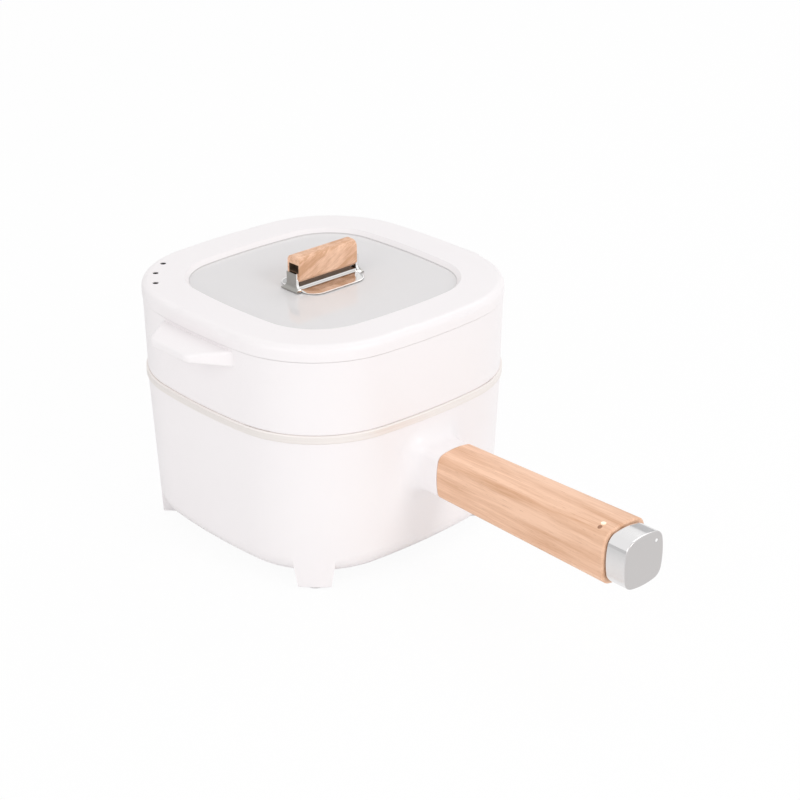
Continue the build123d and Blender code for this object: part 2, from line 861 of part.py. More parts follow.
def handle_end_plate():
    """Dark plate sunk in the sleeve's end, which clamps it against the neck."""
    plate = across(grip_section(end_plate_half), core_end_x, core_end_x + end_plate_thick)
    face_x = core_end_x + end_plate_thick
    plate = plate - level(end_plate_port_r, core_end_x - overrun, face_x + overrun, 0, handle_z)
    for side in (-1, 1):
        offset = side * end_screw_offset
        z = handle_z + offset
        plate = plate - level(end_screw_r + snug_gap, core_end_x - overrun, face_x + overrun, offset, z)
        head_r = end_screw_head_r + snug_gap
        plate = plate - level(head_r, face_x - end_screw_head, face_x + overrun, offset, z)
    return plate


def handle_end_screws():
    """Two screws that draw the end plate onto the core."""
    seat_x = core_end_x + end_plate_thick - end_screw_head
    screws = []
    for side in (-1, 1):
        offset = side * end_screw_offset
        z = handle_z + offset
        head = level(end_screw_head_r, seat_x, seat_x + end_screw_head, offset, z)
        tip = seat_x - end_screw_length + end_screw_head
        screws.append(head + level(end_screw_r - run_gap, tip, seat_x, offset, z))
    return Compound(screws)


def rotary_switch():
    """Rotary selector switch behind the core's end wall, its bush through the wall."""
    case = RectangleRounded(2 * switch_half, 2 * switch_half, switch_corner_r)
    body = across(case, switch_back_x, switch_front_x)
    body = body + level(switch_bush_r, switch_front_x, bush_end_x, 0, handle_z)
    for y in (-switch_wire_y, switch_wire_y):
        body = body + brick(
            (switch_back_x - switch_tab_length, switch_back_x),
            (y - switch_tab_thick / 2, y + switch_tab_thick / 2),
            (handle_z - switch_tab_width / 2, handle_z + switch_tab_width / 2),
        )
    bore_end = switch_front_x - shaft_in_switch - slip_gap
    return body - level(shaft_r + run_gap, bore_end, bush_end_x + overrun, 0, handle_z)


def switch_nut():
    """Hexagon nut that clamps the switch's bush to the end wall."""
    hexagon = RegularPolygon(switch_nut_across / 2, 6, major_radius=False)
    nut = across(hexagon, core_end_x, core_end_x + switch_nut_thick)
    hole = level(switch_bush_r + run_gap, core_end_x - overrun, bush_end_x + overrun, 0, handle_z)
    return nut - hole


def shaft_form(gap):
    """The shaft with its driving flat, grown by a gap where it sits in the knob."""
    rod = level(shaft_r + gap, switch_front_x - shaft_in_switch, shaft_end_x + gap, 0, handle_z)
    flat = brick(
        (knob_back_x, knob_face_x),
        (-knob_half, knob_half),
        (handle_z + shaft_r - shaft_flat + gap, handle_z + knob_half),
    )
    return rod - flat


def switch_shaft():
    """Steel shaft with a driving flat, turned by the knob."""
    return shaft_form(0)


def control_knob():
    """Bright cap on the handle's end: a deep shell with a boss on the shaft."""
    cap = across(bowed_square(knob_half, knob_corner_r, knob_side_r), knob_back_x, knob_face_x)
    cap = fillet(cap.edges().group_by(Axis.X)[-1], knob_edge)
    inner_half = knob_half - knob_wall
    hollow = bowed_square(inner_half, knob_corner_r - knob_wall, knob_side_r - knob_wall)
    cap = cap - across(hollow, knob_back_x - overrun, knob_face_x - knob_face_thick)
    cap = cap + level(knob_boss_r, knob_back_x, knob_face_x - knob_face_thick, 0, handle_z)
    cap = cap - shaft_form(run_gap)
    dot_z = handle_z + index_offset
    return cap - level(index_r, knob_face_x - index_depth, knob_face_x + overrun, index_offset, dot_z)


def knob_index():
    """White dot set into the knob's face."""
    dot_z = handle_z + index_offset
    return level(index_r - run_gap, knob_face_x - index_depth, knob_face_x, index_offset, dot_z)


def indicator_led():
    """Small lamp in a pocket of the core's end wall."""
    return upright(led_r, led_bottom, led_top, indicator_x, indicator_y)


def indicator_lens():
    """Clear light pipe from the lamp to the sleeve's upper face."""
    return upright(indicator_r, led_top + snug_gap, indicator_top, indicator_x, indicator_y)


def ear():
    """Lifting ear on the front wall: a plate with sloping ends, under the lid's edge."""
    wall_y = -(steamer_top_half - steamer_wall)
    tip_y = -(plan_half + ear_reach)
    corners = [
        (-ear_root_half, wall_y),
        (-ear_outer_half, tip_y),
        (ear_outer_half, tip_y),
        (ear_root_half, wall_y),
    ]
    top = steamer_top - ear_below_top
    low = top - ear_root_thick
    outline = make_face(Polyline(*corners, close=True))
    plate = extrude(Pos(0, 0, low) * outline, amount=ear_root_thick)
    plate = fillet(plate.edges().filter_by(Axis.Z).sort_by(Axis.Y)[:2], ear_corner_r)
    tip_top = top - ear_tip_drop
    taper = [(wall_y, low), (wall_y, top), (tip_y, tip_top), (tip_y, tip_top - ear_tip_thick)]
    plate = plate & across(make_face(Polyline(*taper, close=True)), -ear_root_half, ear_root_half, z=0)
    slanted = plate.edges().filter_by(Axis.Z, reverse=True)
    rims = [edge for edge in slanted if edge.bounding_box().min.Y < wall_y - overrun]
    return fillet(rims, ear_edge_r)


def steamer_body():
    """White steamer tier: drafted wall, slotted floor, locating skirt and two ears."""
    body = drafted_block(steamer_top_half, trim_top, steamer_top, steamer_draft_deg)
    body = fillet(lowest(body), steamer_edge_r)
    for turn in (0, 180):
        body = body + Rot(0, 0, turn) * ear()
    hollow_half = steamer_top_half - steamer_wall + steamer_slope * overrun
    floor_top = trim_top + steamer_floor
    body = body - drafted_block(hollow_half, floor_top, steamer_top + overrun, steamer_draft_deg)
    body = body + ring(skirt_half, skirt_half - skirt_wall, trim_top - skirt_depth, trim_top)
    slot = SlotOverall(slot_length, slot_width)
    for column in range(slot_columns):
        for row in range(slot_rows):
            x = (column - (slot_columns - 1) / 2) * slot_pitch_x
            y = (row - (slot_rows - 1) / 2) * slot_pitch_y
            cutter = extrude(Pos(x, y, trim_top - overrun) * slot, amount=steamer_floor + 2 * overrun)
            body = body - cutter
    return body


def steam_holes():
    """Places of the steam holes, on an arc round the lid's front left corner."""
    corner = corner_centre(plan_half, plan_corner_r, plan_side_r)
    radius = plan_corner_r - steam_hole_inset
    middle = (steam_hole_count - 1) / 2
    turns = [math.radians(225 + (n - middle) * steam_hole_step_deg) for n in range(steam_hole_count)]
    return [(radius * math.cos(t) - corner, radius * math.sin(t) - corner) for t in turns]


def lid_rim():
    """White lid frame: soft outer edge, bevelled window, rebate for the glass and a locating wall."""
    frame = block(lid_half, lid_bottom, lid_top)
    frame = fillet(highest(frame), lid_edge_r)
    frame = fillet(lowest(frame), lid_foot_r)
    window = block(lid_window_half, lid_bottom - overrun, lid_top + overrun)
    frame = frame - window
    mouth = frame.faces().sort_by(Axis.Z)[-1].inner_wires()[0].edges()
    frame = chamfer(mouth, lid_bevel)
    frame = frame - block(rebate_half, lid_bottom - overrun, glass_top)
    locator_half = steamer_top_half - steamer_wall - lid_locator_gap
    pocket_top = lid_top - lid_lip
    locator_inner = locator_half - lid_locator_wall
    frame = frame - ring(locator_inner, rebate_half + lid_rib, lid_bottom - overrun, pocket_top)
    frame = frame + ring(locator_half, locator_inner, lid_bottom - lid_locator_depth, lid_bottom)
    for x, y in steam_holes():
        frame = frame - upright(steam_hole_r, lid_bottom, lid_top + overrun, x, y)
    return frame


def lid_screw_places():
    return [(0, -lid_screw_y), (0, lid_screw_y)]


def lid_glass():
    """Flat tempered glass with two holes for the bar's screws."""
    pane = block(glass_half, glass_bottom, glass_top)
    for x, y in lid_screw_places():
        pane = pane - upright(lid_screw_r + slip_gap, glass_bottom - overrun, glass_top + overrun, x, y)
    return pane


def glass_gasket():
    """Silicone channel that holds the glass up in the frame's rebate."""
    outer = rebate_half - snug_gap
    low = glass_bottom - gasket_under
    wall = ring(outer, outer - gasket_wall, low, glass_top)
    return wall + ring(outer, glass_half - gasket_lip, low, glass_bottom)


def along(section, low, high):
    """A section drawn in X and Z, carried along Y."""
    start = Plane(origin=(0, high, 0), x_dir=(1, 0, 0), z_dir=(0, -1, 0))
    return extrude(start * section, amount=high - low)


def flared(inner, post, foot):
    """Half view of an upright post whose foot flares out in a hollow curve."""
    foot_top = bar_bottom + bar_foot_thick
    flare_top = foot_top + bar_flare_height
    hollow = post + bar_flare_share * (foot - post)
    hollow_z = foot_top + bar_flare_share * bar_flare_height
    return make_face([
        Line((inner, bar_bottom), (foot, bar_bottom)),
        Line((foot, bar_bottom), (foot, foot_top)),
        ThreePointArc((foot, foot_top), (hollow, hollow_z), (post, flare_top)),
        Line((post, flare_top), (post, post_top)),
        Line((post, post_top), (inner, post_top)),
        Line((inner, post_top), (inner, bar_bottom)),
    ])


def bar_post():
    """Upright post behind the grip's far end, on a foot that flares back and to both sides."""
    inner = lid_grip_length / 2 + snug_gap
    outer = inner + bar_post_thick
    foot = outer + bar_foot_lead
    side = across(flared(inner, outer, foot), -bar_foot_half, bar_foot_half, z=0)
    half = along(flared(0, bar_post_half, bar_foot_half), 0, foot)
    return side & (half + mirror(half, about=Plane.YZ))


def bar_plate(inset, low, high):
    """Plate of the base's outline, moved in by an inset."""
    width = 2 * (bar_dome_half - inset)
    outline = RectangleRounded(width, bar_dome_length - 2 * inset, bar_dome_corner_r - inset)
    return extrude(Pos(0, 0, low) * outline, amount=high - low)


def lid_handle_base():
    """Polished metal base of the lid's bar: a low hipped plate with a rib and a post at each end."""
    dome_top = bar_bottom + bar_dome_rise
    plate = bar_plate(0, bar_bottom, bar_bottom + bar_rim_thick)
    rib = Pos(0, 0, dome_top) * RectangleRounded(2 * bar_rib_half, lid_grip_length, bar_rib_corner_r)
    base = plate + loft([plate.faces().sort_by(Axis.Z)[-1], rib])
    base = base + extrude(rib, amount=bar_top - dome_top)
    for turn in (0, 180):
        base = base + Rot(0, 0, turn) * bar_post()
    groove_y = tongue_length / 2 + snug_gap
    groove_z = bar_top - bar_groove_depth
    base = base - brick((-bar_groove_half, bar_groove_half), (-groove_y, groove_y), (groove_z, post_top))
    for x, y in lid_screw_places():
        base = base - upright(lid_screw_r + snug_gap, bar_bottom - overrun, bar_top, x, y)
    return base


def lid_handle_pad():
    """Thin silicone pad between the bar and the glass."""
    pad = bar_plate(bar_pad_inset, glass_top, bar_bottom)
    for x, y in lid_screw_places():
        pad = pad - upright(lid_screw_r + snug_gap, glass_top - overrun, bar_bottom + overrun, x, y)
    return pad


def lid_grip():
    """Wooden grip between the posts: notched ends, and a tongue that seats in the base's groove."""
    low = bar_top + lid_grip_shadow_gap
    y_half = lid_grip_length / 2
    body = brick((-lid_grip_half, lid_grip_half), (-y_half, y_half), (low, low + lid_grip_height))
    body = fillet(body.edges().filter_by(Axis.Y).group_by(Axis.Z)[-1], lid_grip_top_r)
    body = chamfer(body.edges().filter_by(Axis.Y).group_by(Axis.Z)[0], lid_grip_bevel)
    notch = brick(
        (-lid_grip_notch_half, lid_grip_notch_half),
        (y_half - lid_grip_notch_depth, y_half + overrun),
        (post_top, post_top + lid_grip_notch_rise),
    )
    for turn in (0, 180):
        body = body - Rot(0, 0, turn) * notch
    tongue_half = bar_groove_half - snug_gap
    tongue_low = bar_top - bar_groove_depth
    tongue_y = tongue_length / 2
    body = body + brick((-tongue_half, tongue_half), (-tongue_y, tongue_y), (tongue_low, low))
    for x, y in lid_screw_places():
        body = body - upright(lid_screw_r, tongue_low - overrun, tongue_low + lid_screw_in_wood, x, y)
    return body


def lid_screws():
    """Two screws from under the glass up into the grip."""
    seat = glass_bottom - washer_thick
    top = bar_top - bar_groove_depth + lid_screw_in_wood - snug_gap
    screws = []
    for x, y in lid_screw_places():
        head = upright(lid_screw_head_r, seat - lid_screw_head, seat, x, y)
        head = fillet(lowest(head), lid_screw_head / 2)
        screws.append(head + upright(lid_screw_r - run_gap, seat, top, x, y))
    return Compound(screws)


def lid_screw_washers():
    """Silicone washers under the lid's screw heads."""
    washers = []
    for x, y in lid_screw_places():
        low = glass_bottom - washer_thick
        disc = upright(washer_r, low, glass_bottom, x, y)
        hole = upright(lid_screw_r + run_gap, low - overrun, glass_bottom + overrun, x, y)
        washers.append(disc - hole)
    return Compound(washers)


pad_names = ("foot_pad_handle_back", "foot_pad_handle_front", "foot_pad_inlet_back", "foot_pad_inlet_front")
pieces = [
    outer_shell, base_cover, cover_screws, inner_pot, pot_seal, trim_ring,
    heater_plate, heating_element, heat_shield, shield_screws, thermostat, thermal_fuse, fuse_clip,
    terminal_block, inlet_housing, inlet_pins, supply_wires, switch_wires, thermostat_wires,
    handle_core, handle_root_screws, handle_sleeve, handle_end_plate, handle_end_screws,
    rotary_switch, switch_nut, indicator_led, indicator_lens, control_knob, knob_index, switch_shaft,
    steamer_body, lid_rim, lid_glass, glass_gasket,
    lid_handle_base, lid_handle_pad, lid_grip, lid_screws, lid_screw_washers,
]

os.makedirs("parts", exist_ok=True)
for piece in pieces:
    export_step(piece(), f"parts/{piece.__name__}.step")
for name, (pad_x, pad_y) in zip(pad_names, four_corners(pad_distance)):
    export_step(foot_pad(pad_x, pad_y), f"parts/{name}.step")
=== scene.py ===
import math

import bmesh
import bpy
from mathutils import Matrix, Vector


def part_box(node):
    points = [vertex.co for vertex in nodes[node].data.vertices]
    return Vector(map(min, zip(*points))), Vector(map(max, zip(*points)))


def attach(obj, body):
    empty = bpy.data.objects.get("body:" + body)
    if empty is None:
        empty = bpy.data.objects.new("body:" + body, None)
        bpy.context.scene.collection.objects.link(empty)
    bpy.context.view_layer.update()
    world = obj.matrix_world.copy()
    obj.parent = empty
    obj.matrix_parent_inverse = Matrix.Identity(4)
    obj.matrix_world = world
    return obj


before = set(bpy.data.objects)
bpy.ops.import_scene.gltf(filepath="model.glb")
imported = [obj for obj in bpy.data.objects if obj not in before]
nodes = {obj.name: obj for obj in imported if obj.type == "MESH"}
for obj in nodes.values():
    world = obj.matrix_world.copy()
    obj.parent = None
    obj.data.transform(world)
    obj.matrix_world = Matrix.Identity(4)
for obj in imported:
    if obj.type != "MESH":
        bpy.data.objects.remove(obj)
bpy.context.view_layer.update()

# Outer shell
# The white body of the cooker with its four legs and the neck for the handle, one satin moulding.
# The mould leaves a very fine grain in the plastic and a trace of unevenness in its gloss.


class Signal:
    """A shader socket. Sums and products of signals become Math nodes."""

    # A Mix node has sockets for numbers, vectors and colours. These are the ones that mix colours.
    MIX_FACTOR = 0
    MIX_LOW = 6
    MIX_HIGH = 7
    MIX_RESULT = 2

    def __init__(self, socket):
        self.socket = socket
        self.tree = socket.id_data

    @classmethod
    def make(cls, tree, kind, settings, sockets, output=0):
        """Add a node, make its settings, then fill its sockets with values or signals."""
        node = tree.nodes.new(kind)
        for name, value in settings.items():
            setattr(node, name, value)
        for name, value in sockets.items():
            if isinstance(value, Signal):
                tree.links.new(value.socket, node.inputs[name])
            else:
                node.inputs[name].default_value = value
        return cls(node.outputs[output])

    def math(self, operation, other=0.0):
        return self.make(self.tree, "ShaderNodeMath", {"operation": operation}, {0: self, 1: other})

    def __add__(self, other):
        return self.math("ADD", other)

    __radd__ = __add__

    def __sub__(self, other):
        return self.math("SUBTRACT", other)

    def __rsub__(self, other):
        return self * -1 + other

    def __mul__(self, other):
        return self.math("MULTIPLY", other)

    __rmul__ = __mul__

    def __truediv__(self, other):
        return self.math("DIVIDE", other)

    def __abs__(self):
        return self.math("ABSOLUTE")

    def above(self, low, high):
        """0 below low, 1 above high, and a straight rise between them."""
        sockets = {"Value": self, "From Min": low, "From Max": high}
        return self.make(self.tree, "ShaderNodeMapRange", {"clamp": True}, sockets)

    def below(self, low, high):
        """1 below low, 0 above high, and a straight fall between them."""
        return 1 - self.above(low, high)

    def between(self, low, high, edge):
        """1 from low to high and 0 outside, with a soft edge of this width on each side."""
        return self.above(low - edge, low) * self.below(high, high + edge)

    def turned(self, angles):
        """A place turned about the origin."""
        sockets = {"Vector": self, "Rotation": angles}
        return self.make(self.tree, "ShaderNodeVectorRotate", {"rotation_type": "EULER_XYZ"}, sockets)

    def stretched(self, scale):
        """A place scaled by a different number along each axis."""
        sockets = {0: self, 1: scale}
        return self.make(self.tree, "ShaderNodeVectorMath", {"operation": "MULTIPLY"}, sockets)

    def noise(self, scale, detail=2.0, roughness=0.5):
        """Smooth noise from 0 to 1 at this place."""
        sockets = {"Vector": self, "Scale": scale, "Detail": detail, "Roughness": roughness}
        return self.make(self.tree, "ShaderNodeTexNoise", {}, sockets)

    def parts(self):
        """The x, y and z of a place."""
        sockets = {"Vector": self}
        return [self.make(self.tree, "ShaderNodeSeparateXYZ", {}, sockets, axis) for axis in "XYZ"]

    def blend(self, low, high):
        """Colour low where this is 0 and colour high where it is 1."""
        low, high = [value if isinstance(value, Signal) else (*value, 1) for value in (low, high)]
        sockets = {self.MIX_FACTOR: self, self.MIX_LOW: low, self.MIX_HIGH: high}
        return self.make(self.tree, "ShaderNodeMix", {"data_type": "RGBA"}, sockets, self.MIX_RESULT)

    def bump(self, strength, distance):
        """A normal bent by this height."""
        sockets = {"Height": self, "Strength": strength, "Distance": distance}
        return self.make(self.tree, "ShaderNodeBump", {}, sockets)


def finish(name, **fixed):
    """A new material with fixed shader values. Gives the material and the place on the surface."""
    material = bpy.data.materials.new(name)
    material.use_nodes = True
    shader = material.node_tree.nodes["Principled BSDF"]
    for socket, value in fixed.items():
        shader.inputs[socket.replace("_", " ")].default_value = value
    return material, Signal.make(material.node_tree, "ShaderNodeTexCoord", {}, {}, "Object")


def feed(material, **signals):
    """Link signals to the material's shader."""
    shader = material.node_tree.nodes["Principled BSDF"]
    for socket, signal in signals.items():
        material.node_tree.links.new(signal.socket, shader.inputs[socket.replace("_", " ")])
    return material


def dress(material, *names):
    """Give CAD nodes a material."""
    for name in names:
        for slot in nodes[name].material_slots:
            slot.material = material


def moulding(name, colour, shade, gloss, grain_size, with_painted_shade=None):
    """Moulded plastic: a trace of colour drift, uneven gloss and a fine mould grain.

    An optional function takes a place and the plain colour and gives the colour there with painted shade.
    """
    material, place = finish(name, Specular_IOR_Level=0.45)
    drift = place.noise(9.0, detail=3.0).above(0.35, 0.65).blend(shade, colour)
    patches = place.noise(60.0, detail=4.0)
    return feed(
        material,
        Base_Color=with_painted_shade(place, drift) if with_painted_shade else drift,
        Roughness=gloss - 0.04 + 0.08 * patches,
        Normal=place.noise(1 / grain_size).bump(0.12, 0.00002),
    )


WHITE = (0.962, 0.928, 0.936)
WHITE_SHADE = (0.952, 0.916, 0.925)
WHITE_GLOSS = 0.36
WHITE_GRAIN = 0.0007
white_plastic = moulding("white_plastic", WHITE, WHITE_SHADE, WHITE_GLOSS, WHITE_GRAIN)
dress(white_plastic, "outer_shell")

# Foot pads
# Four pale rubber pads with stems pushed up into the legs, so that the cooker doesn't slide.
# Rubber is dull and slightly dusty, with a coarse skin.

RUBBER = (0.74, 0.73, 0.72)
RUBBER_DUSTY = (0.84, 0.83, 0.82)
pad_rubber, place = finish("pad_rubber", Specular_IOR_Level=0.3)
dust = place.noise(300.0, detail=4.0)
feed(
    pad_rubber,
    Base_Color=dust.above(0.4, 0.7).blend(RUBBER, RUBBER_DUSTY),
    Roughness=0.75 + 0.2 * dust,
    Normal=place.noise(1400.0, detail=3.0).bump(0.35, 0.0001),
)
dress(pad_rubber, *[name for name in nodes if name.startswith("foot_pad")])

# Base cover and its screws
# A slotted white plate in the underside, held by four plated cross-head screws from below.
# The plate is the same plastic as the shell. Each screw's cross recess is a flat dark sheet on the head,
# painted shade for the recess.

dress(white_plastic, "base_cover")


def brushed(name, colour, shade, gloss, stretch):
    """Bare metal with fine lines across the direction of the largest stretch."""
    material, place = finish(name, Metallic=1.0)
    lines = place.stretched(stretch).noise(1.0, detail=3.0)
    smears = place.noise(45.0, detail=3.0)
    return feed(
        material,
        Base_Color=lines.above(0.3, 0.7).blend(shade, colour),
        Roughness=gloss + 0.12 * lines + 0.10 * smears,
        Normal=lines.bump(0.10, 0.00003),
    )


STEEL = (0.66, 0.66, 0.67)
STEEL_SHADE = (0.54, 0.54, 0.56)
steel = brushed("steel", STEEL, STEEL_SHADE, gloss=0.22, stretch=(900, 900, 900))
dress(steel, "cover_screws")

# Painted shade for the cross recesses: a dark colour with a slightly paler noise through it.
RECESS_SHADE = (0.05, 0.05, 0.05)
RECESS_SHADE_PALE = (0.10, 0.10, 0.10)
cross_shade, place = finish("cross_painted_shade", Metallic=0.6)
feed(
    cross_shade,
    Base_Color=place.noise(2500.0).blend(RECESS_SHADE, RECESS_SHADE_PALE),
    Roughness=0.45 + 0.2 * place.noise(900.0),
)


def place_piece(form, name, middle, out, material, body):
    """Turn a bmesh into a piece whose Z points outwards, and let it ride on a body."""
    mesh = bpy.data.meshes.new(name)
    form.to_mesh(mesh)
    form.free()
    mesh.materials.append(material)
    piece = bpy.data.objects.new(name, mesh)
    bpy.context.scene.collection.objects.link(piece)
    facing = Vector(out).to_track_quat("Z", "Y").to_matrix().to_4x4()
    piece.matrix_world = Matrix.Translation(middle) @ facing
    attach(piece, body)


CROSS_REACH = 0.0017
CROSS_WIDTH = 0.00055
CROSS_PROUD = 0.00003


def painted_cross_shade(name, middle, out, body):
    """A screw's cross recess as painted shade: a flat dark cross on the head's face, with pointed arms.
    """
    form = bmesh.new()
    half = CROSS_WIDTH / 2
    arm = ((CROSS_REACH, -half), (CROSS_REACH + half, 0), (CROSS_REACH, half), (half, half))
    outline = []
    for quarter in range(4):
        turn = Matrix.Rotation(quarter * math.pi / 2, 3, "Z")
        outline += [form.verts.new(turn @ Vector((x, y, CROSS_PROUD))) for x, y in arm]
    form.faces.new(outline)
    place_piece(form, name, middle, out, cross_shade, body)


SCREW_HEAD_R = 0.0028
low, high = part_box("cover_screws")
corners = [(x, y) for x in (low.x + SCREW_HEAD_R, high.x - SCREW_HEAD_R)
           for y in (low.y + SCREW_HEAD_R, high.y - SCREW_HEAD_R)]
for number, (x, y) in enumerate(corners, 1):
    painted_cross_shade(f"cover_screw_cross_shade_{number}", Vector((x, y, low.z)), (0, 0, -1), "base")

# Cooking pot and its seal
# A drawn aluminium pot with a faintly speckled non-stick coat, hung by its flange on a silicone ring.
# The pale coat is sprayed and baked, so it has a soft gloss and a slight texture.

POT_COAT = (0.78, 0.75, 0.71)
POT_SPECK = (0.42, 0.39, 0.36)
coated_pot, place = finish("coated_pot", Coat_Roughness=0.25)
speckle = place.noise(2200.0)
feed(
    coated_pot,
    Base_Color=speckle.above(0.62, 0.68).blend(POT_COAT, POT_SPECK),
    Roughness=0.38 + 0.12 * place.noise(80.0, detail=3.0),
    Coat_Weight=0.25 + 0.2 * place.noise(25.0),
    Normal=speckle.bump(0.15, 0.00004),
)
dress(coated_pot, "inner_pot")

SILICONE_SHADE = (0.80, 0.79, 0.78)
SILICONE_PALE = (0.88, 0.87, 0.86)
SILICONE_DEPTH = (0.002, 0.002, 0.002)
silicone, place = finish("silicone", Subsurface_Weight=0.25, Subsurface_Radius=SILICONE_DEPTH)
feed(
    silicone,
    Base_Color=place.noise(120.0, detail=3.0).blend(SILICONE_SHADE, SILICONE_PALE),
    Roughness=0.45 + 0.15 * place.noise(700.0),
    Normal=place.noise(1800.0).bump(0.2, 0.00004),
)
dress(silicone, "pot_seal")

# Trim band
# A pale champagne anodised aluminium band round the rim that holds the pot's flange down.
# It is brushed along its length, so its fine lines run level round the pot.

CHAMPAGNE_SHADE = (0.88, 0.825, 0.79)
CHAMPAGNE_PALE = (0.94, 0.895, 0.87)
champagne_trim, place = finish("champagne_trim", Metallic=0.3)
lines = place.stretched((18, 18, 5200)).noise(1.0)
feed(
    champagne_trim,
    Base_Color=lines.above(0.3, 0.7).blend(CHAMPAGNE_SHADE, CHAMPAGNE_PALE),
    Roughness=0.32 + 0.15 * lines,
    Normal=lines.bump(0.08, 0.00003),
)
dress(champagne_trim, "trim_ring")

# Heater under the pot
# A cast aluminium plate, a tubular steel element, a pressed shield and its screws,
# with a ceramic thermostat and a fuse under a spring clip. None of it shows unless the pot is opened.

CAST_SHADE = (0.50, 0.50, 0.51)
CAST_PALE = (0.64, 0.64, 0.65)
cast_aluminium, place = finish("cast_aluminium", Metallic=1.0)
cast = place.noise(900.0, detail=5.0)
feed(
    cast_aluminium,
    Base_Color=place.noise(70.0, detail=3.0).blend(CAST_SHADE, CAST_PALE),
    Roughness=0.45 + 0.25 * cast,
    Normal=cast.bump(0.4, 0.0001),
)
dress(cast_aluminium, "heater_plate")
dress(steel, "heating_element", "heat_shield", "shield_screws", "fuse_clip")

CERAMIC_SHADE = (0.80, 0.78, 0.71)
CERAMIC_PALE = (0.90, 0.88, 0.82)
ceramic_body, place = finish("ceramic_body")
feed(
    ceramic_body,
    Base_Color=place.noise(250.0, detail=4.0).blend(CERAMIC_SHADE, CERAMIC_PALE),
    Roughness=0.5 + 0.2 * place.noise(900.0),
)
dress(ceramic_body, "thermostat", "thermal_fuse")

# Mains inlet, terminal block and wires
# The inlet is a dark moulding in a pocket of the shell with three plated blades.
# Fibre-covered leads run from it to the block on the base cover, to the thermostat and through the neck.

BLACK = (0.035, 0.035, 0.036)
BLACK_SHADE = (0.025, 0.025, 0.026)
black_plastic = moulding("black_plastic", BLACK, BLACK_SHADE, gloss=0.48, grain_size=0.0005)
dress(black_plastic, "inlet_housing", "terminal_block")

BRASS = (0.78, 0.72, 0.55)
BRASS_SHADE = (0.66, 0.60, 0.44)
plated_brass = brushed("plated_brass", BRASS, BRASS_SHADE, gloss=0.2, stretch=(2500, 2500, 200))
dress(plated_brass, "inlet_pins")

BRAID_PITCH = 2600.0
BRAID_SHADE = (0.62, 0.61, 0.58)
BRAID_PALE = (0.80, 0.79, 0.76)
wire_jacket, place = finish("wire_jacket", Sheen_Weight=0.2)
x, y, z = place.parts()
braid = (BRAID_PITCH * (x + y + z)).math("SINE") * (BRAID_PITCH * (x - y - z)).math("SINE")
feed(
    wire_jacket,
    Base_Color=braid.above(-1, 1).blend(BRAID_SHADE, BRAID_PALE),
    Roughness=0.7 + 0.1 * place.noise(400.0),
    Normal=braid.bump(0.4, 0.0001),
)
dress(wire_jacket, "supply_wires", "switch_wires", "thermostat_wires")

# Long handle
# A planed wooden sleeve on a moulded tube, which four screws hold to the neck.
# The grain runs lengthwise: soft irregular streaks, fine fibres and a few short open pores.
# A thin oil finish leaves the wood nearly dull.

dress(black_plastic, "handle_core", "handle_end_plate")
dress(steel, "handle_root_screws", "handle_end_screws")

OAK_LIGHT = (0.970, 0.630, 0.445)
OAK_DARK = (0.690, 0.380, 0.220)
OAK_PORE = (0.46, 0.25, 0.14)
# Painted shade for wood that sits in the dark gaps of the lid's grip.
OAK_PAINTED_SHADE = (0.12, 0.08, 0.055)
RING_LEAN_Y = 0.8
RING_LEAN_Z = 0.6
RING_WANDER = 5.0


def oak(name, turn, streak, ring_pitch, tones, painted_shade=None):
    """Oiled wood with its fibres along X after the turn.

    The streak gives the figure's scale along and across. Lower tones make the wood darker.
    What the shade function gives for a place, from 0 to 1, is painted dark there as painted shade.
    """
    material, place = finish(name, Coat_Roughness=0.35, Specular_IOR_Level=0.4)
    level = place.turned(turn)
    wander = level.stretched((11, 30, 30)).noise(1.0)
    _, y, z = level.parts()
    rings = (y * RING_LEAN_Y + z * RING_LEAN_Z) / ring_pitch
    growth = (rings + RING_WANDER * wander).math("SINE")
    streaks = level.stretched(streak).noise(1.0, detail=4.0, roughness=0.62)
    fibre = level.stretched((45, 1500, 1500)).noise(1.0, detail=3.0, roughness=0.6)
    pores = level.stretched((150, 2600, 2600)).noise(1.0, detail=1.0).above(0.68, 0.74)
    tone = 0.62 * streaks + 0.28 * fibre + 0.05 * growth
    planed = tone.above(*tones).blend(OAK_LIGHT, OAK_DARK)
    colour = (pores * 0.4).blend(planed, OAK_PORE)
    if painted_shade:
        colour = painted_shade(place).blend(colour, OAK_PAINTED_SHADE)
    return feed(
        material,
        Base_Color=colour,
        Roughness=0.42 + 0.16 * fibre + 0.2 * pores,
        Coat_Weight=0.12 - 0.1 * pores,
        Normal=(fibre * 0.4 - pores).bump(0.25, 0.00006),
    )


handle_oak = oak("handle_oak", turn=(0, 0, 0), streak=(13, 230, 230), ring_pitch=0.0022,
                 tones=(0.35, 0.63))
dress(handle_oak, "handle_sleeve")

# Selector switch and knob
# A rotary switch behind the handle's end, its shaft, and a bright plated cap that turns it.
# The cap's flanks are polished and its face is satin, with a small white dot set in.

dress(black_plastic, "rotary_switch")
dress(steel, "switch_nut", "switch_shaft")

KNOB_FLANK = (0.80, 0.79, 0.79)
KNOB_FACE = (0.60, 0.58, 0.575)
KNOB_FACE_FROM = 0.0009
KNOB_FACE_TO = 0.0003
knob_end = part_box("control_knob")[1].x
knob_chrome, place = finish("knob_chrome", Metallic=1.0)
x, _, _ = place.parts()
face = x.above(knob_end - KNOB_FACE_FROM, knob_end - KNOB_FACE_TO)
haze = place.noise(60.0, detail=4.0)
feed(
    knob_chrome,
    Base_Color=face.blend(KNOB_FLANK, KNOB_FACE),
    Roughness=0.09 + 0.05 * haze + 0.22 * face,
    Normal=place.stretched((200, 3000, 200)).noise(1.0).bump(0.03, 0.00002),
)
dress(knob_chrome, "control_knob")

INK = (0.95, 0.95, 0.95)
INK_SHADE = (0.90, 0.90, 0.90)
white_ink = moulding("white_ink", INK, INK_SHADE, gloss=0.3, grain_size=0.0004)
dress(white_ink, "knob_index")
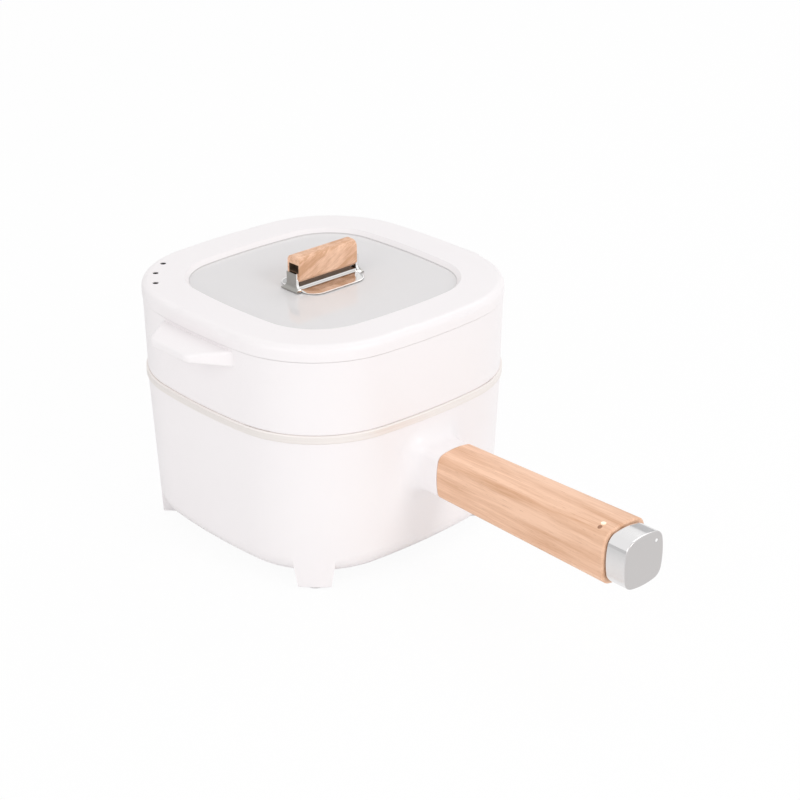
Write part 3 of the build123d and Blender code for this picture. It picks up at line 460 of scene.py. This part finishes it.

# Indicator
# A clear light pipe flush with the wood, over a small lamp in the handle's inner tube.
# Beside it, towards the front, a small dark brown disc sits on the wood.

LENS_WARM = (0.96, 0.80, 0.60)
LENS_PALE = (0.99, 0.88, 0.70)
GLOW_WARM = (1.0, 0.86, 0.66)
GLOW_PALE = (1.0, 0.92, 0.76)
clear_lens, place = finish("clear_lens", Coat_Weight=0.5, Coat_Roughness=0.05, Emission_Strength=0.25)
glow = place.noise(900.0)
feed(
    clear_lens,
    Base_Color=glow.blend(LENS_WARM, LENS_PALE),
    Roughness=0.12 + 0.1 * glow,
    Emission_Color=glow.blend(GLOW_WARM, GLOW_PALE),
)
dress(clear_lens, "indicator_lens", "indicator_led")

SPOT_BROWN = (0.34, 0.16, 0.085)
SPOT_TAN = (0.42, 0.21, 0.115)
dark_spot, place = finish("dark_spot", Coat_Weight=0.3)
feed(
    dark_spot,
    Base_Color=place.noise(1500.0).blend(SPOT_BROWN, SPOT_TAN),
    Roughness=0.25 + 0.15 * place.noise(700.0),
)
SPOT_R = 0.0015
SPOT_TOP_R = SPOT_R * 0.8
SPOT_CROWN = 0.00012
SPOT_FROM_LAMP = Vector((0.0004, -0.0058, 0))
SPOT_SIDES = 32
low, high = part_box("indicator_lens")
beside = (low + high) / 2 + SPOT_FROM_LAMP
over = beside + Vector((0, 0, high.z - low.z))
spot, out = nodes["handle_sleeve"].closest_point_on_mesh(over)[1:3]
form = bmesh.new()
bmesh.ops.create_cone(form, cap_ends=True, segments=SPOT_SIDES, radius1=SPOT_R,
                      radius2=SPOT_TOP_R, depth=2 * SPOT_CROWN)
place_piece(form, "indicator_dark_spot", spot, out, dark_spot, "base")

# Steamer tier
# A white moulding like the shell, with a slotted floor, a skirt that finds the pot and two lifting ears.
# It stands on the trim band by its own weight.

dress(white_plastic, "steamer_body")

# Lid frame, gasket and glass
# A white moulded frame round a faintly grey, hazy tempered pane, held from below by a silicone channel.
# Three steam holes go through the frame's front left corner, and their walls are painted dark as painted
# shade.
# Thin grey lines of painted shade run along the pane's edge and along the frame's foot.

VENT_CORNER = 0.03246
VENT_ARC_R = 0.058
VENT_TURNS = (208.5, 225.0, 241.5)
VENT_R = 0.0021
VENT_EDGE = 0.0003
# Painted shade in the steam holes and along the seams at the pane and the foot.
VENT_PAINTED_SHADE = (0.035, 0.03, 0.03)
WINDOW_REACH = 0.095
SEAM_HEIGHT = 0.0006
FOOT_HEIGHT = 0.0003
SEAM_EDGE = 0.0002
SEAM_PAINTED_SHADE = (0.72, 0.70, 0.70)
lid_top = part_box("lid_rim")[1].z
glass_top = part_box("lid_glass")[1].z
lid_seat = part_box("steamer_body")[1].z


def vent_and_seam_shade(place, plain):
    """The plain colour with painted shade: dark walls in the steam holes and grey lines at the pane and
    the foot.
    """
    x, y, z = place.parts()
    hole = 0
    for turn in VENT_TURNS:
        away_x = x + VENT_CORNER - VENT_ARC_R * math.cos(math.radians(turn))
        away_y = y + VENT_CORNER - VENT_ARC_R * math.sin(math.radians(turn))
        away_squared = away_x * away_x + away_y * away_y
        hole = hole + away_squared.below(VENT_R ** 2, (VENT_R + VENT_EDGE) ** 2)
    vent_shade = hole * z.below(lid_top - 2 * VENT_EDGE, lid_top - VENT_EDGE)
    from_middle = (x * x + y * y).math("SQRT")
    in_window = from_middle.below(WINDOW_REACH, WINDOW_REACH + SEAM_EDGE)
    at_pane = in_window * (z - glass_top).between(0, SEAM_HEIGHT, SEAM_EDGE)
    at_foot = (1 - in_window) * (z - lid_seat).between(0, FOOT_HEIGHT, SEAM_EDGE)
    seam_shaded = at_pane.math("MAXIMUM", at_foot).blend(plain, SEAM_PAINTED_SHADE)
    return vent_shade.blend(seam_shaded, VENT_PAINTED_SHADE)


lid_white = moulding("lid_white", WHITE, WHITE_SHADE, WHITE_GLOSS, WHITE_GRAIN, vent_and_seam_shade)
dress(lid_white, "lid_rim")
dress(silicone, "glass_gasket")

PANE_GREY = (0.965, 0.945, 0.95)
PANE_PALE = (0.985, 0.965, 0.97)
lid_glass, place = finish("lid_glass", IOR=1.5, Transmission_Weight=0.18)
haze = place.noise(30.0, detail=4.0)
feed(
    lid_glass,
    Base_Color=haze.blend(PANE_GREY, PANE_PALE),
    Roughness=0.03 + 0.05 * haze,
)
dress(lid_glass, "lid_glass")

# The posts' outer faces are satin and are painted darker, as painted shade.
# Lid bar
# A polished plated base with an upright post at each end, screwed through the glass onto a silicone pad.
# Its low dome has a satin rim over a wall painted dark, as painted shade.
# Between the posts sits a wooden grip with notched ends.
# The walls of the grip's end notches and the tongue under it are painted dark, as painted shade.

dress(silicone, "lid_handle_pad", "lid_screw_washers")
dress(steel, "lid_screws")

POST_FOOT_LEAD = 0.0018
POST_FACE_FROM = 0.0004
POST_FACE_TO = 0.0001
RIM_WALL = 0.00038
RIM_RISE = 0.00058
RIB_FOOT = 0.0022
PLATING_EDGE = 0.0001
PLATING_BRIGHT = (0.96, 0.955, 0.95)
PLATING_DOME = (0.78, 0.77, 0.76)
# Painted shade: the wall under the dome's rim and the posts' outer faces.
PLATING_WALL_SHADE = (0.45, 0.44, 0.43)
PLATING_POST_SHADE = (0.38, 0.37, 0.35)
low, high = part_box("lid_handle_base")
bar_chrome, place = finish("bar_chrome", Metallic=1.0)
_, y, z = place.parts()
post_face = high.y - POST_FOOT_LEAD
ends = abs(y).above(post_face - POST_FACE_FROM, post_face - POST_FACE_TO)
height = z - low.z
above_wall = height.above(RIM_WALL, RIM_WALL + PLATING_EDGE)
above_rim = height.above(RIM_RISE, RIM_RISE + PLATING_EDGE)
dome = above_rim * height.below(RIB_FOOT, RIB_FOOT + PLATING_EDGE)
rim = above_wall * (1 - above_rim) * (1 - ends)
haze = place.noise(90.0, detail=4.0)
polished = dome.blend(PLATING_BRIGHT, PLATING_DOME)
plated = above_wall.blend(PLATING_WALL_SHADE, polished)
feed(
    bar_chrome,
    Base_Color=ends.blend(plated, PLATING_POST_SHADE),
    Roughness=0.06 + 0.05 * haze + 0.2 * ends + 0.4 * rim,
    Normal=place.stretched((3000, 200, 200)).noise(1.0).bump(0.03, 0.00002),
)
dress(bar_chrome, "lid_handle_base")

TONGUE_HEIGHT = 0.0035
NOTCH_HALF = 0.0045
NOTCH_DEPTH = 0.0051
NOTCH_RISE = 0.0051
SHADE_EDGE = 0.0002
grip_low, grip_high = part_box("lid_grip")
notch_end = grip_high.y - NOTCH_DEPTH
post_top = high.z


def notch_and_tongue_shade(place):
    """1 on the walls of the grip's end notches and on the tongue under it, which are painted dark as
    painted shade.
    """
    x, y, z = place.parts()
    inside = abs(y).between(notch_end, grip_high.y - SHADE_EDGE, SHADE_EDGE)
    across = abs(x).below(NOTCH_HALF, NOTCH_HALF + SHADE_EDGE)
    risen = z.between(post_top, post_top + NOTCH_RISE, SHADE_EDGE)
    under = z.below(grip_low.z + TONGUE_HEIGHT - SHADE_EDGE, grip_low.z + TONGUE_HEIGHT)
    return (inside * across * risen).math("MAXIMUM", under)


GRIP_TURN = (math.radians(-25), 0.0, math.radians(-90))
grip_oak = oak("grip_oak", GRIP_TURN, streak=(80, 300, 300), ring_pitch=0.0026, tones=(0.32, 0.53),
               painted_shade=notch_and_tongue_shade)
dress(grip_oak, "lid_grip")

# Studio
# A seamless white table in even light, with soft lamps at the front left, front right and high behind.
# Grey boards to the front left and behind show only in polished surfaces, as a studio's dark sides do.
# The camera has the photograph's view.

SEEN = ("Is Camera Ray", "Is Glossy Ray", "Is Transmission Ray")


def seen_directly(tree):
    """1 for rays that show a thing itself, straight, in metal or through glass, and 0 for other light."""
    seen = 0.0
    for kind in SEEN:
        seen = Signal.make(tree, "ShaderNodeLightPath", {}, {}, kind).math("MAXIMUM", seen)
    return seen


def flat_sheet(name, material, corners):
    """A flat four-cornered sheet of the studio."""
    mesh = bpy.data.meshes.new(name)
    mesh.from_pydata(corners, [], [(0, 1, 2, 3)])
    mesh.materials.append(material)
    sheet = bpy.data.objects.new(name, mesh)
    bpy.context.scene.collection.objects.link(sheet)
    return sheet


FLOOR_HALF = 8.0
FLOOR_SHADOW = 0.06
PAPER_SHADE = (0.945, 0.945, 0.945)
PAPER_PALE = (0.965, 0.965, 0.965)
white_table, place = finish("white_table", Roughness=0.9)
feed(white_table, Base_Color=place.noise(40.0).blend(PAPER_SHADE, PAPER_PALE))
tree = white_table.node_tree
glow = Signal.make(tree, "ShaderNodeEmission", {}, {"Color": (1, 1, 1, 1)})
lit = Signal(tree.nodes["Principled BSDF"].outputs["BSDF"])
sockets = {"Fac": seen_directly(tree) * (1 - FLOOR_SHADOW), 1: lit, 2: glow}
shown = Signal.make(tree, "ShaderNodeMixShader", {}, sockets)
tree.links.new(shown.socket, tree.nodes["Material Output"].inputs["Surface"])
flat_sheet("floor", white_table, [(sx * FLOOR_HALF, sy * FLOOR_HALF, 0)
                                  for sx, sy in ((-1, -1), (1, -1), (1, 1), (-1, 1))])

AMBIENT = 0.735
world = bpy.data.worlds.new("studio")
world.use_nodes = True
bpy.context.scene.world = world
tree = world.node_tree
background = tree.nodes["Background"]
background.inputs["Color"].default_value = (1, 1, 1, 1)
strength = AMBIENT + (1 - AMBIENT) * seen_directly(tree)
tree.links.new(strength.socket, background.inputs["Strength"])

LAMP_AIM = Vector((0.0, 0.0, 0.08))


def softbox(name, place, size, power):
    """A square soft lamp turned towards the cooker."""
    lamp = bpy.data.lights.new(name, "AREA")
    lamp.size = size
    lamp.energy = power
    box = bpy.data.objects.new(name, lamp)
    bpy.context.scene.collection.objects.link(box)
    box.location = place
    box.rotation_mode = "QUATERNION"
    box.rotation_quaternion = (LAMP_AIM - Vector(place)).to_track_quat("-Z", "Y")
    box.visible_camera = False


softbox("right_softbox", (1.95, 0.16, 1.30), size=0.6, power=9.0)
softbox("left_softbox", (0.45, -1.95, 1.2), size=1.2, power=7.2)
softbox("back_softbox", (-0.3, 1.2, 1.7), size=1.2, power=5.2)

BOARD_OUT = Vector((-0.64, -0.77, 0)).normalized()
BOARD_ACROSS = Vector((0.77, -0.64, 0)).normalized()
BOARD_HALF = 1.2
BOARD_NEAR = -0.10
BOARD_FADE = 0.35
BOARD_BEND = 0.9
BOARD_FAR = 1.9
BOARD_FOOT = 0.002
BOARD_TOP = 0.5
BOARD_PALE = (0.97, 0.97, 0.97)
BOARD_GREY = (0.66, 0.66, 0.66)
board_grey, place = finish("board_grey", Roughness=0.8)
x, y, _ = place.parts()
fade = (x * BOARD_OUT.x + y * BOARD_OUT.y).above(BOARD_NEAR, BOARD_FADE)
feed(board_grey, Base_Color=fade.blend(BOARD_PALE, BOARD_GREY))


def reach(out, across, away, half, height):
    """The two ends of a level edge that lies across a direction."""
    middle = out * away + Vector((0, 0, height))
    return [middle - across * half, middle + across * half]


near_edge = reach(BOARD_OUT, BOARD_ACROSS, BOARD_NEAR, BOARD_HALF, BOARD_FOOT)
bend_edge = reach(BOARD_OUT, BOARD_ACROSS, BOARD_BEND, BOARD_HALF, BOARD_FOOT)
far_edge = reach(BOARD_OUT, BOARD_ACROSS, BOARD_FAR, BOARD_HALF, BOARD_TOP)
boards = [
    flat_sheet("grey_board", board_grey, near_edge + bend_edge[::-1]),
    flat_sheet("grey_board_rise", board_grey, bend_edge + far_edge[::-1]),
]

BACKDROP_OUT = Vector((-0.757, 0.653, 0)).normalized()
BACKDROP_ACROSS = Vector((0.653, 0.757, 0)).normalized()
BACKDROP_AWAY = 2.0
BACKDROP_HALF = 1.1
BACKDROP_FOOT = 0.5
BACKDROP_TOP = 1.12
BACKDROP_SHADE = (0.65, 0.65, 0.655)
BACKDROP_PALE = (0.69, 0.69, 0.695)
backdrop_grey, place = finish("backdrop_grey", Roughness=0.8)
feed(backdrop_grey, Base_Color=place.noise(3.0).blend(BACKDROP_SHADE, BACKDROP_PALE))
foot_edge = reach(BACKDROP_OUT, BACKDROP_ACROSS, BACKDROP_AWAY, BACKDROP_HALF, BACKDROP_FOOT)
top_edge = reach(BACKDROP_OUT, BACKDROP_ACROSS, BACKDROP_AWAY, BACKDROP_HALF, BACKDROP_TOP)
boards.append(flat_sheet("grey_backdrop", backdrop_grey, foot_edge + top_edge[::-1]))
for board in boards:
    board.visible_camera = False
    board.visible_diffuse = False
    board.visible_transmission = False
    board.visible_shadow = False

EYE = Vector((0.91015, -0.78022, 0.63501))
LOOK_AT = Vector((0.03314, 0.03434, 0.07834))
LENS_MM = 93.52
SENSOR_MM = 36.0
camera = bpy.data.objects.new("camera", bpy.data.cameras.new("camera"))
bpy.context.scene.collection.objects.link(camera)
camera.data.sensor_width = SENSOR_MM
camera.data.lens = LENS_MM
camera.location = EYE
camera.rotation_mode = "QUATERNION"
camera.rotation_quaternion = (LOOK_AT - EYE).to_track_quat("-Z", "Y")
bpy.context.scene.camera = camera
bpy.context.scene.view_settings.view_transform = "Standard"
